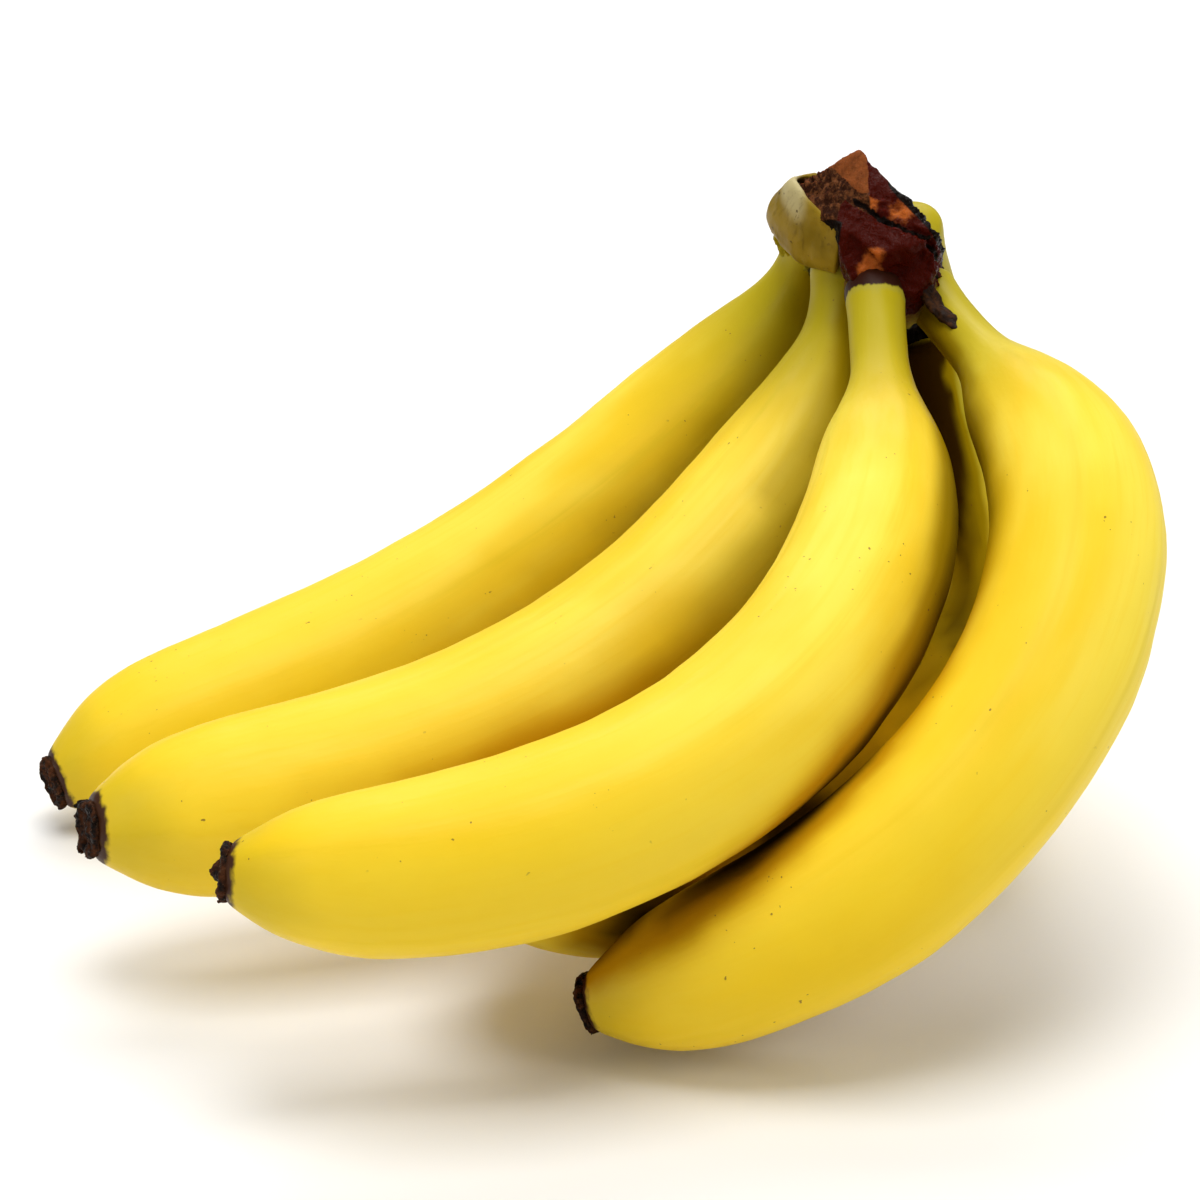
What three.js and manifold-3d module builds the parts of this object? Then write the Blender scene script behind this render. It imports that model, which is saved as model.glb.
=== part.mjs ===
// Bunch of bananas: six ripe fingers growing from one cut crown, lying as they come to rest
// on a table. Millimetres, +Z up. The viewer of the concave side stands on the -Y side.
//
// Every finger is one swept solid, neck and body together. Its centreline starts at a seat
// inside the crown, leaves in a heading given by azimuth and dip, and bends in one plane.
// The origin of the finished bunch is the middle of the underside of its bounding box.
import * as THREE from "three";
import { mergeVertices } from "three/addons/utils/BufferGeometryUtils.js";
import Module from "manifold-3d";

const wasm = await Module();
wasm.setup();

// ---- driving dimensions, millimetres and degrees ---------------------------------------
// seat: start of the neck, measured from a working point on the table.
// azimuth, dip: heading of the neck. roll: turn of the bending plane about that heading.
// shoulder: bend between neck and body. sweep: even bend of the body. hook: extra at the tip.
// length: seat to tip along the centreline. girth: radius of the body. neck: its length.
// sway: how far the middle leans out of the bending plane. root: radius at the seat.
const FINGERS = [
  {
    seat: [44.2, 63.7, 117.3], azimuth: 107.1, dip: 75.2, roll: -6.5,
    shoulder: 30.9, sweep: 62.5, hook: -17.1,
    length: 208.9, girth: 18.9, neck: 5.9, sway: 1.9, root: 7.0,
  },
  {
    seat: [48.5, 49.4, 115.5], azimuth: -83.1, dip: 60.8, roll: 169.3,
    shoulder: 22.5, sweep: 74.3, hook: -11,
    length: 212.4, girth: 19.2, neck: 9, sway: -5, root: 6.6,
  },
  {
    seat: [54.7, 35.0, 114.1], azimuth: -90.7, dip: 27.7, roll: 178.8,
    shoulder: -14.1, sweep: 114.2, hook: -3.6,
    length: 225.2, girth: 17.0, neck: 24.3, sway: -1.1, root: 6.4,
  },
  {
    seat: [65.4, 45.6, 110.3], azimuth: -66.6, dip: 17.7, roll: -147.8,
    shoulder: -21.2, sweep: 155.4, hook: -16,
    length: 227.1, girth: 17.0, neck: 23.1, sway: -5.9, root: 6.4,
  },
  {
    seat: [66.0, 53.7, 96.8], azimuth: -36.9, dip: 70.6, roll: -174,
    shoulder: 59.2, sweep: 66.2, hook: -11.9,
    length: 220.9, girth: 18.9, neck: 48.4, sway: -1.1, root: 7.0,
  },
  {
    seat: [62.8, 56.6, 119.2], azimuth: 59.5, dip: 57.8, roll: -26.3,
    shoulder: 31.3, sweep: 84.1, hook: 1.6,
    length: 194, girth: 18.8, neck: 28, sway: -0.7, root: 7.4,
  },
];

// How the radius of a body swells from the end of the neck (0) to the tip (1), as a share
// of the girth.
const SWELL = [
  [0, 0.325], [0.03, 0.39], [0.06, 0.52], [0.1, 0.69], [0.15, 0.82], [0.22, 0.92],
  [0.33, 0.98], [0.5, 1], [0.7, 1], [0.8, 0.965], [0.87, 0.895], [0.92, 0.78],
  [0.955, 0.61], [0.98, 0.42], [1, 0.28],
];
const NECK_SHARE = 0.325; // radius of the neck, as a share of the girth
const ROOT_LENGTH = 14; // over which the root narrows to the neck
const SHOULDER_LENGTH = 52; // over which the neck bends into the body
const HOOK_START = 0.78; // share of the length where the tip begins to hook
const RIDGES = 5; // angular ridges of the peel round a finger
const RIDGE_HEIGHT = 0.03; // their height, as a share of the radius

const SIDES = 15; // facets round a finger
const RINGS = 30; // sections along a finger
const FINE_STEPS = 240; // steps used to integrate a centreline

const GAP = 0.3; // clearance between touching pieces
const TIP_CUT = 1.2; // the body stops this far before the end of its centreline
const BLOSSOM = [
  // distance past the body, radius
  [0, 5], [1.2, 5.6], [2.6, 5], [3.6, 5.1], [4.6, 3.2],
];
const BLOSSOM_SIDES = 10;

// Crown: sections square to the axis the stalk was cut across. For each, its place along
// the axis, its middle (across, up) and its half sizes (across, up).
const CROWN_MIDDLE = new THREE.Vector3(56, 50, 118);
const CROWN_AXIS = new THREE.Vector3(-0.13, -0.61, 0.78).normalize();
const CROWN_ACROSS = new THREE.Vector3(0.956, -0.284, -0.07);
const CROWN_SECTIONS = [
  [-29, 8, -4, 5, 5],
  [-24, 5, -1.5, 8.5, 9.5],
  [-17, 0, 0.5, 12.5, 12.5],
  [-11, -4.25, 1, 16.75, 14],
  [-5, -5.25, 0, 18.75, 15],
  [0, -4.25, -1.75, 18.75, 15.75],
  [6, -2.25, -2.75, 18.75, 15.75],
  [12, -0.5, -2.75, 17.5, 15.25],
  [18, 1, -2, 16, 14],
];
// Knife cuts across the crown: the direction each faces (across, up, along the axis) and
// how far out along it the cut lies.
const CROWN_CUTS = [
  [0.63, 0.74, 0.224, 9.5],
  [-0.64, 0.584, 0.504, 18],
  [-0.485, -0.816, -0.307, 10],
  [0.22, -0.57, 0.79, 17.9],
];
const CROWN_SIDES = 22;
const CROWN_LUMPS = 0.035; // unevenness of the crown, as a share of its half size

// ---- finishes --------------------------------------------------------------------------
const PEEL = new THREE.MeshStandardMaterial({
  color: 0xf4d01c,
  roughness: 0.42,
  metalness: 0,
});
const CROWN_BARK = new THREE.MeshStandardMaterial({
  color: 0x6a4320,
  roughness: 0.6,
  metalness: 0,
});
const DRIED_BLOSSOM = new THREE.MeshStandardMaterial({
  color: 0x2b1d12,
  roughness: 0.85,
  metalness: 0,
});

// ---- small helpers ---------------------------------------------------------------------
const radians = THREE.MathUtils.degToRad;

// Smooth curve through a table of [x, y] rows that never overshoots them.
function through(table, x) {
  const last = table.length - 1;
  const slopes = table.slice(1).map((row, i) => (row[1] - table[i][1]) / (row[0] - table[i][0]));
  const tangent = (i) => {
    if (i === 0) return slopes[0];
    if (i === last) return slopes[last - 1];
    const before = slopes[i - 1];
    const after = slopes[i];
    return before * after <= 0 ? 0 : (2 * before * after) / (before + after);
  };
  if (x <= table[0][0]) return table[0][1];
  if (x >= table[last][0]) return table[last][1];
  const i = table.findIndex((row) => row[0] > x) - 1;
  const step = table[i + 1][0] - table[i][0];
  const t = (x - table[i][0]) / step;
  const keep = (1 + 2 * t) * (1 - t) ** 2 * table[i][1];
  const take = t ** 2 * (3 - 2 * t) * table[i + 1][1];
  const leave = t * (1 - t) ** 2 * step * tangent(i);
  const arrive = t ** 2 * (t - 1) * step * tangent(i + 1);
  return keep + take + leave + arrive;
}

// A closed surface over rings of points, each ring given in the same turning direction.
// Rings run along the direction their points turn about, so that faces look outward.
function skin(rings) {
  const count = rings[0].length;
  const points = rings.flat();
  const middle = (ring) => {
    const sum = ring.reduce((total, point) => total.add(point), new THREE.Vector3());
    return sum.divideScalar(count);
  };
  points.push(middle(rings[0]), middle(rings[rings.length - 1]));
  const faces = [];
  for (let ring = 0; ring < rings.length - 1; ring += 1) {
    for (let side = 0; side < count; side += 1) {
      const a = ring * count + side;
      const b = ring * count + ((side + 1) % count);
      faces.push(a, b, b + count);
      faces.push(a, b + count, a + count);
    }
  }
  const lastRing = (rings.length - 1) * count;
  for (let side = 0; side < count; side += 1) {
    const next = (side + 1) % count;
    faces.push(points.length - 2, next, side);
    faces.push(points.length - 1, lastRing + side, lastRing + next);
  }
  const geometry = new THREE.BufferGeometry().setFromPoints(points);
  geometry.setIndex(faces);
  return geometry;
}

// ---- centreline of a finger ------------------------------------------------------------
// Unit directions of a finger at its seat: along the neck, toward the bend, and square to both.
function axesOf(finger) {
  const azimuth = radians(finger.azimuth);
  const dip = radians(finger.dip);
  const roll = radians(finger.roll);
  const along = new THREE.Vector3(
    Math.cos(azimuth) * Math.cos(dip),
    Math.sin(azimuth) * Math.cos(dip),
    -Math.sin(dip),
  );
  const level = new THREE.Vector3(-Math.sin(azimuth), Math.cos(azimuth), 0);
  const steep = along.clone().cross(level);
  const bend = level.multiplyScalar(Math.cos(roll)).addScaledVector(steep, Math.sin(roll));
  const out = along.clone().cross(bend);
  return { along, bend, out };
}

// Turn of the centreline, in radians, at distance s from the seat.
function turnAt(finger, s) {
  const step = THREE.MathUtils.smoothstep(s, finger.neck - 12, finger.neck - 12 + SHOULDER_LENGTH);
  const body = THREE.MathUtils.clamp((s - finger.neck) / (finger.length - finger.neck), 0, 1);
  const tip = THREE.MathUtils.smoothstep(s / finger.length, HOOK_START, 1);
  return radians(finger.shoulder * step + finger.sweep * body + finger.hook * tip);
}

// Points of the centreline at even steps, each with the two directions across it.
function centreline(finger) {
  const { along, bend, out } = axesOf(finger);
  const step = finger.length / FINE_STEPS;
  const place = new THREE.Vector3(...finger.seat);
  const stations = [];
  for (let i = 0; i <= FINE_STEPS; i += 1) {
    const s = i * step;
    const turn = turnAt(finger, s);
    const lean = THREE.MathUtils.clamp(
      (s - finger.neck / 2) / (finger.length - finger.neck / 2),
      0,
      1,
    );
    stations.push({
      s,
      point: place.clone().addScaledVector(out, finger.sway * Math.sin(Math.PI * lean) ** 2),
      ahead: along.clone().multiplyScalar(Math.cos(turn)).addScaledVector(bend, Math.sin(turn)),
      inward: bend.clone().multiplyScalar(Math.cos(turn)).addScaledVector(along, -Math.sin(turn)),
      out,
    });
    const middle = turnAt(finger, s + step / 2);
    place.addScaledVector(along, step * Math.cos(middle));
    place.addScaledVector(bend, step * Math.sin(middle));
  }
  return stations;
}

function stationAt(stations, s) {
  const step = stations[1].s;
  return stations[THREE.MathUtils.clamp(Math.round(s / step), 0, stations.length - 1)];
}

// Radius of a finger at distance s from its seat.
function radiusAt(finger, s) {
  if (s < finger.neck) {
    const narrow = Math.max(0, 1 - s / Math.min(ROOT_LENGTH, finger.neck)) ** 2;
    return finger.girth * NECK_SHARE + (finger.root - finger.girth * NECK_SHARE) * narrow;
  }
  return finger.girth * through(SWELL, (s - finger.neck) / (finger.length - finger.neck));
}

// ---- pieces ----------------------------------------------------------------------------
// One finger as a closed mesh, grown outward by `extra` all round.
function fingerGeometry(finger, extra = 0) {
  const stations = centreline(finger);
  const end = finger.length - TIP_CUT;
  const rings = [];
  for (let i = 0; i <= RINGS; i += 1) {
    const share = i / RINGS;
    const eased = share - 0.09 * Math.sin(2 * Math.PI * share) / Math.PI; // closer at the ends
    const station = stationAt(stations, end * eased);
    const radius = radiusAt(finger, station.s);
    const swollen = THREE.MathUtils.smoothstep(station.s, finger.neck, finger.neck + 30);
    const centre = station.point.clone();
    if (i === 0) centre.addScaledVector(station.ahead, -extra);
    if (i === RINGS) centre.addScaledVector(station.ahead, extra);
    const ring = [];
    for (let side = 0; side < SIDES; side += 1) {
      const angle = (2 * Math.PI * side) / SIDES;
      const ridge = 1 + RIDGE_HEIGHT * swollen * Math.cos(RIDGES * (angle - Math.PI));
      const reach = radius * ridge + extra;
      ring.push(
        centre
          .clone()
          .addScaledVector(station.inward, reach * Math.cos(angle))
          .addScaledVector(station.out, reach * Math.sin(angle)),
      );
    }
    rings.push(ring);
  }
  return skin(rings);
}

// The dried remains of the flower, a rough stub past the tip of a finger.
function blossomGeometry(finger) {
  const stations = centreline(finger);
  const tip = stationAt(stations, finger.length - TIP_CUT);
  const rings = BLOSSOM.map(([distance, radius], i) => {
    const ring = [];
    for (let side = 0; side < BLOSSOM_SIDES; side += 1) {
      const angle = (2 * Math.PI * side) / BLOSSOM_SIDES;
      const frayed = radius * (1 + (i ? 0.07 : 0) * Math.cos(3 * angle + 2 * i));
      ring.push(
        tip.point
          .clone()
          .addScaledVector(tip.ahead, GAP + distance)
          .addScaledVector(tip.inward, frayed * Math.cos(angle))
          .addScaledVector(tip.out, frayed * Math.sin(angle)),
      );
    }
    return ring;
  });
  return skin(rings);
}

// The crown before the necks are let into it.
function crownBlank() {
  const up = CROWN_AXIS.clone().cross(CROWN_ACROSS);
  const rings = CROWN_SECTIONS.map(([place, across, high, halfAcross, halfUp], i) => {
    const ring = [];
    for (let side = 0; side < CROWN_SIDES; side += 1) {
      const angle = (2 * Math.PI * side) / CROWN_SIDES;
      const lump = 1 + CROWN_LUMPS * Math.sin(3 * angle + i) + CROWN_LUMPS * Math.sin(5 * angle - i);
      ring.push(
        CROWN_MIDDLE.clone()
          .addScaledVector(CROWN_AXIS, place)
          .addScaledVector(CROWN_ACROSS, across + halfAcross * lump * Math.cos(angle))
          .addScaledVector(up, high + halfUp * lump * Math.sin(angle)),
      );
    }
    return ring;
  });
  return skin(rings);
}

// ---- booleans --------------------------------------------------------------------------
function solidOf(geometry) {
  const merged = mergeVertices(geometry, 1e-4);
  return new wasm.Manifold(
    new wasm.Mesh({
      numProp: 3,
      vertProperties: merged.attributes.position.array,
      triVerts: new Uint32Array(merged.index.array),
    }),
  );
}

function geometryOf(solid) {
  const mesh = solid.getMesh();
  const geometry = new THREE.BufferGeometry();
  geometry.setAttribute("position", new THREE.BufferAttribute(mesh.vertProperties, 3));
  geometry.setIndex(new THREE.BufferAttribute(mesh.triVerts, 1));
  return geometry;
}

// The crown with a socket for the root of every neck.
function crownGeometry() {
  let solid = solidOf(crownBlank());
  const up = CROWN_AXIS.clone().cross(CROWN_ACROSS);
  CROWN_CUTS.forEach(([across, high, along, out]) => {
    const facing = CROWN_ACROSS.clone()
      .multiplyScalar(across)
      .addScaledVector(up, high)
      .addScaledVector(CROWN_AXIS, along)
      .normalize();
    const offset = facing.dot(CROWN_MIDDLE) + out;
    solid = solid.trimByPlane([-facing.x, -facing.y, -facing.z], -offset);
  });
  FINGERS.forEach((finger) => {
    solid = solid.subtract(solidOf(fingerGeometry(finger, GAP)));
  });
  const bodies = solid.decompose();
  bodies.sort((a, b) => b.volume() - a.volume());
  return geometryOf(bodies[0]);
}

// ---- the bunch -------------------------------------------------------------------------
const bunch = new THREE.Group();

function add(name, geometry, material) {
  const mesh = new THREE.Mesh(geometry, material);
  mesh.name = name;
  bunch.add(mesh);
}

add("crown", crownGeometry(), CROWN_BARK);
FINGERS.forEach((finger, i) => {
  add(`banana_${i + 1}`, fingerGeometry(finger), PEEL);
  add(`blossom_end_${i + 1}`, blossomGeometry(finger), DRIED_BLOSSOM);
});

// Bring the middle of the underside of the bounding box to the origin.
const box = new THREE.Box3().setFromObject(bunch);
const middle = box.getCenter(new THREE.Vector3());
bunch.children.forEach((mesh) => {
  mesh.geometry.translate(-middle.x, -middle.y, -box.min.z);
  mesh.geometry.computeVertexNormals();
});

export default bunch;
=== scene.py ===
"""A bunch of six ripe bananas on a pale table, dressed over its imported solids.

Everything is in metres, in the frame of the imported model. Each finger is modelled upright
in a frame of its own, x toward the hollow side and z along the neck, and is then placed in
the bunch. The crown is modelled the same way, x across it and z along the cut stalk.
"""

import logging
import math
from dataclasses import dataclass, field
from enum import Enum
from typing import Callable, Iterable, Sequence

import bmesh
import bpy
from mathutils import Matrix, Vector, noise
from mathutils.bvhtree import BVHTree

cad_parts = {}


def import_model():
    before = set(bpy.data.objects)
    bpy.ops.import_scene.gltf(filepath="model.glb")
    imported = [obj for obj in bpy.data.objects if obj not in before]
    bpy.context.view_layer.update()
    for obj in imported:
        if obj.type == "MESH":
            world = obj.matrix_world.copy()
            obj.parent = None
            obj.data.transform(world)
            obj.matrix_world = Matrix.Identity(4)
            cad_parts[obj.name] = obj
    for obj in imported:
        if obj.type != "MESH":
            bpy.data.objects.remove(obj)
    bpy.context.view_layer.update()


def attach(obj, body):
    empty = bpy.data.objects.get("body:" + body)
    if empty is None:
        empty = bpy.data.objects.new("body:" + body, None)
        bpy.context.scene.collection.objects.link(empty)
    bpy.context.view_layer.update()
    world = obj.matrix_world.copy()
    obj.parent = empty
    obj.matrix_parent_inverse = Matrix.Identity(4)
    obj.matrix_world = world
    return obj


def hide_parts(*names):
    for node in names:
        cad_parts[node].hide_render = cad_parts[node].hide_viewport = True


LOG = logging.getLogger("bananas")
MM = 0.001
BODY = "root"
PATH_STEP = 0.5  # millimetres between the kept places of a centreline
GOLDEN_ANGLE = 2.39996  # radians; spreads directions evenly over a ball

# The point on the table that the seats are measured from, in the frame of the model.
WORKING_POINT = Vector((6.55, -7.77, 0.20)) * MM


class Slot(Enum):
    """Material slots of the record."""

    PEEL = "peel"
    CROWN = "crown_bark"
    BLOSSOM = "dried_blossom"


# ---- small helpers -----------------------------------------------------------------------
def smooth_step(value: float, low: float, high: float) -> float:
    """Ease from 0 at low to 1 at high.

    Args:
        value: The number to ease.
        low: Where the ease begins.
        high: Where it ends.

    Returns:
        A number from 0 to 1.
    """
    share = min(1.0, max(0.0, (value - low) / (high - low)))
    return share * share * (3 - 2 * share)


def through(table: Sequence[tuple[float, float]], x: float) -> float:
    """Read a smooth curve through rows of a table without overshooting them.

    Args:
        table: Rows of (x, y) with rising x.
        x: Where to read it.

    Returns:
        The height of the curve.
    """
    last = len(table) - 1
    if x <= table[0][0]:
        return table[0][1]
    if x >= table[last][0]:
        return table[last][1]
    slopes = [(b[1] - a[1]) / (b[0] - a[0]) for a, b in zip(table, table[1:])]

    def tangent(i: int) -> float:
        """Slope of the curve at row i."""
        if i in (0, last):
            return slopes[0] if i == 0 else slopes[-1]
        before, after = slopes[i - 1], slopes[i]
        return 0.0 if before * after <= 0 else 2 * before * after / (before + after)

    i = max(k for k in range(last) if table[k][0] <= x)
    step = table[i + 1][0] - table[i][0]
    t = (x - table[i][0]) / step
    keep = (1 + 2 * t) * (1 - t) ** 2 * table[i][1]
    take = t * t * (3 - 2 * t) * table[i + 1][1]
    leave = t * (1 - t) ** 2 * step * tangent(i)
    arrive = t * t * (t - 1) * step * tangent(i + 1)
    return keep + take + leave + arrive


def deselect_everything() -> None:
    """Leave edit mode and deselect every object."""
    if bpy.context.object and bpy.context.object.mode != "OBJECT":
        bpy.ops.object.mode_set(mode="OBJECT")
    bpy.ops.object.select_all(action="DESELECT")


def only(piece: bpy.types.Object) -> None:
    """Make one piece the selected and active object."""
    deselect_everything()
    piece.select_set(True)
    bpy.context.view_layer.objects.active = piece


def pick(piece: bpy.types.Object, wanted: Callable[[Vector], bool]) -> int:
    """Select, in edit mode, the vertices whose place passes a test.

    Args:
        piece: The piece in edit mode.
        wanted: A test of a vertex's place.

    Returns:
        How many were selected.
    """
    bpy.ops.mesh.select_mode(type="VERT")
    mesh = bmesh.from_edit_mesh(piece.data)
    for vertex in mesh.verts:
        vertex.select = bool(wanted(vertex.co))
    mesh.select_flush_mode()
    bmesh.update_edit_mesh(piece.data, loop_triangles=False, destructive=False)
    return sum(vertex.select for vertex in mesh.verts)


def pick_faces(piece: bpy.types.Object, wanted: Callable[[bmesh.types.BMFace], bool]) -> int:
    """Select, in edit mode, the faces that pass a test.

    Args:
        piece: The piece in edit mode.
        wanted: A test of a face.

    Returns:
        How many were selected.
    """
    bpy.ops.mesh.select_mode(type="FACE")
    mesh = bmesh.from_edit_mesh(piece.data)
    for face in mesh.faces:
        face.select_set(False)
    chosen = [face for face in mesh.faces if wanted(face)]
    for face in chosen:
        face.select_set(True)
    bmesh.update_edit_mesh(piece.data, loop_triangles=False, destructive=False)
    return len(chosen)


def turn_about_y(angle: float, centre: Vector) -> None:
    """Turn what is selected about the y direction through a centre, by the right-hand rule."""
    bpy.ops.transform.rotate(value=-angle, orient_axis="Y", center_override=tuple(centre))


def grow(factor: float, centre: Vector) -> None:
    """Scale what is selected about a centre."""
    bpy.ops.transform.resize(value=(factor, factor, factor), center_override=tuple(centre))


def finish_modifiers(piece: bpy.types.Object) -> None:
    """Apply every modifier of a piece in order."""
    only(piece)
    for modifier in list(piece.modifiers):
        bpy.ops.object.modifier_apply(modifier=modifier.name)


def add_subdivision(piece: bpy.types.Object, levels: int) -> None:
    """Give a piece a subdivision surface of the same level in view and render."""
    modifier = piece.modifiers.new("Subdivision", "SUBSURF")
    modifier.levels = levels
    modifier.render_levels = levels


def add_lumps(piece: bpy.types.Object, size: float, depth: float, depth_name: str) -> None:
    """Displace a piece along its normals by soft cloud noise.

    Args:
        piece: The piece to roughen.
        size: Size of the lumps.
        depth: Full height of the displacement.
        depth_name: Name of the texture that is made for it.
    """
    texture = bpy.data.textures.new(depth_name, "CLOUDS")
    texture.noise_scale = size
    texture.noise_depth = 2
    modifier = piece.modifiers.new("Lumps", "DISPLACE")
    modifier.texture = texture
    modifier.texture_coords = "LOCAL"
    modifier.strength = depth
    modifier.mid_level = 0.5


def place(piece: bpy.types.Object, matrix: Matrix) -> None:
    """Move a piece into the bunch and put its place into its mesh."""
    only(piece)
    piece.matrix_world = matrix
    bpy.ops.object.transform_apply(location=True, rotation=True, scale=True)


def shade_smooth(piece: bpy.types.Object) -> None:
    """Shade every face of a piece smooth."""
    only(piece)
    bpy.ops.object.shade_smooth()


def write_attribute(piece: bpy.types.Object, name: str, values: Sequence) -> None:
    """Write one number or one vector for each vertex of a piece.

    Args:
        piece: The piece.
        name: Name of the attribute.
        values: A float or a vector for each vertex, in order.
    """
    if isinstance(values[0], float):
        made = piece.data.attributes.new(name, "FLOAT", "POINT")
        made.data.foreach_set("value", values)
    else:
        made = piece.data.attributes.new(name, "FLOAT_VECTOR", "POINT")
        made.data.foreach_set("vector", [c for value in values for c in value])


def join_bunch(piece: bpy.types.Object, name: str, slot: Slot, *nodes: str) -> None:
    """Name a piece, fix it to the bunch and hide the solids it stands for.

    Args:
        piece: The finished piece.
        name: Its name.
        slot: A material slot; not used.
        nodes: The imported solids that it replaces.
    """
    piece.name = name
    piece.data.name = name
    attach(piece, BODY)
    if nodes:
        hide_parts(*nodes)
    LOG.info("%s: %d faces", name, len(piece.data.polygons))


# ---- node helpers ------------------------------------------------------------------------
class NodeBoard:
    """A material's node tree with short calls for the nodes that the finishes use."""

    def __init__(self, name: str) -> None:
        """Start a material with one Principled shader.

        Args:
            name: Name of the material.
        """
        self.material = bpy.data.materials.new(name)
        self.material.use_nodes = True
        self.tree = self.material.node_tree
        self.shader = self.tree.nodes["Principled BSDF"]

    def node(self, kind: str, **settings: object) -> bpy.types.Node:
        """Add a node and set its plain properties."""
        made = self.tree.nodes.new(kind)
        for key, value in settings.items():
            setattr(made, key, value)
        return made

    def link(self, source: object, target: object) -> None:
        """Join an output to an input."""
        self.tree.links.new(source, target)

    def value(self, socket: object, given: object) -> None:
        """Set an input to a number, or link an output to it."""
        if isinstance(given, bpy.types.NodeSocket):
            self.link(given, socket)
        else:
            socket.default_value = given

    def attribute(self, name: str) -> bpy.types.Node:
        """Read a named attribute of the mesh."""
        return self.node("ShaderNodeAttribute", attribute_name=name)

    def stretch(self, vector: object, scale: tuple[float, float, float]) -> object:
        """Scale a vector, and give the output."""
        mapping = self.node("ShaderNodeMapping")
        self.link(vector, mapping.inputs["Vector"])
        mapping.inputs["Scale"].default_value = scale
        return mapping.outputs["Vector"]

    def noise(
        self, vector: object, scale: float, detail: float = 3.0, rough: float = 0.5
    ) -> object:
        """Noise over a vector, from about 0.3 to 0.7, and give its Fac output."""
        made = self.node("ShaderNodeTexNoise")
        self.link(vector, made.inputs["Vector"])
        made.inputs["Scale"].default_value = scale
        made.inputs["Detail"].default_value = detail
        made.inputs["Roughness"].default_value = rough
        return made.outputs["Fac"]

    def math(self, operation: str, first: object, second: object = 0.0) -> object:
        """One sum of two numbers or outputs."""
        made = self.node("ShaderNodeMath", operation=operation)
        self.value(made.inputs[0], first)
        self.value(made.inputs[1], second)
        return made.outputs[0]

    def setting(self, name: str, given: object) -> None:
        """Set an input of the shader, or link an output to it."""
        self.value(self.shader.inputs[name], given)

    def mask(self, name: str) -> object:
        """The number that a named attribute of the mesh holds."""
        return self.attribute(name).outputs["Fac"]

    def ragged(self, mask: object, noise_of: object, amount: float) -> object:
        """A mask with its edge moved in and out by a noise."""
        moved = self.math("MULTIPLY", self.math("SUBTRACT", noise_of, 0.5), amount)
        return self.math("ADD", mask, moved)

    def ease(
        self, source: object, low: float, high: float, start: float = 0.0, end: float = 1.0
    ) -> object:
        """Ease a number from start at low to end at high."""
        made = self.node("ShaderNodeMapRange", interpolation_type="SMOOTHSTEP")
        self.link(source, made.inputs["Value"])
        made.inputs["From Min"].default_value = low
        made.inputs["From Max"].default_value = high
        made.inputs["To Min"].default_value = start
        made.inputs["To Max"].default_value = end
        return made.outputs["Result"]

    def blend(self, share: object, first: object, second: object) -> object:
        """Mix two colours by a share."""
        made = self.node("ShaderNodeMix", data_type="RGBA")
        self.value(made.inputs[0], share)
        for socket, given in ((made.inputs[6], first), (made.inputs[7], second)):
            self.value(socket, given if isinstance(given, bpy.types.NodeSocket) else (*given, 1.0))
        return made.outputs[2]

    def bump(
        self, height: object, strength: float, distance: float, under: object = None
    ) -> object:
        """A bump of a height over an earlier normal."""
        made = self.node("ShaderNodeBump")
        made.inputs["Strength"].default_value = strength
        made.inputs["Distance"].default_value = distance
        self.link(height, made.inputs["Height"])
        if under is not None:
            self.link(under, made.inputs["Normal"])
        return made.outputs["Normal"]


Colour = tuple[float, float, float]


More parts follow.
